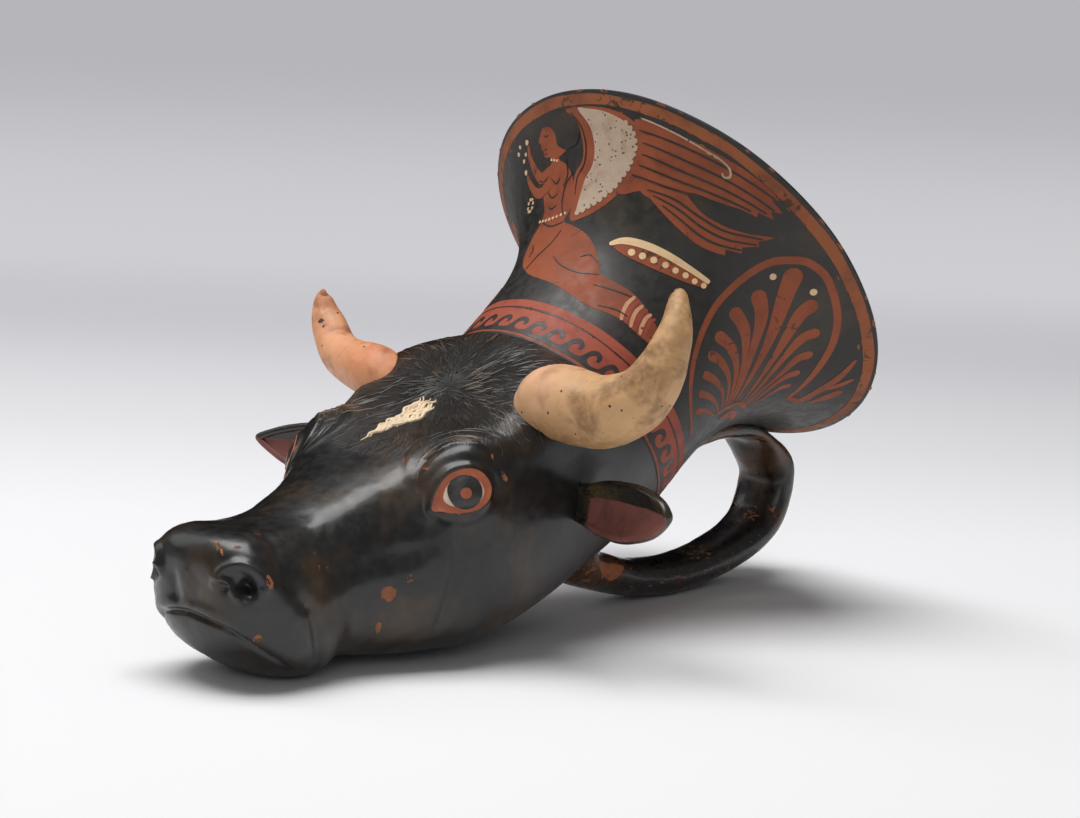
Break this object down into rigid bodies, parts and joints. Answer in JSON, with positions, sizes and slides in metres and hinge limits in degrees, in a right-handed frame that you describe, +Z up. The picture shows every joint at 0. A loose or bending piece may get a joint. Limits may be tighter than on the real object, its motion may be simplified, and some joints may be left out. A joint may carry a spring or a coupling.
{
  "type": "rhyton drinking cup",
  "caption": "hollow ceramic drinking cup shaped as a bull's head, with a flaring bowl set in its neck and a strap handle from throat to bowl",
  "frame": {"origin": "on the table, under the middle of the object's length, on its middle plane", "axes": "+X to the animal's left, +Y from the muzzle to the mouth of the bowl, +Z up"},
  "size_m": [0.136, 0.2099, 0.129],
  "materials": {
    "bowl_glaze": "black gloss over red clay, with painted red figures and ornament",
    "head_glaze": "black gloss, olive and brown where thin, worn to red clay at chips",
    "horn_slip": "matt ochre and cream slip over clay",
    "ear_clay": "matt maroon clay inside, black gloss outside",
    "handle_glaze": "black gloss, worn brown on the grip"
  },
  "bodies": {
    "root": {"bowl": "bowl_glaze", "head_left_half": "head_glaze", "head_right_half": "head_glaze", "left_horn": "horn_slip", "right_horn": "horn_slip", "left_ear": "ear_clay", "right_ear": "ear_clay", "handle": "handle_glaze"}
  },
  "joints": []
}
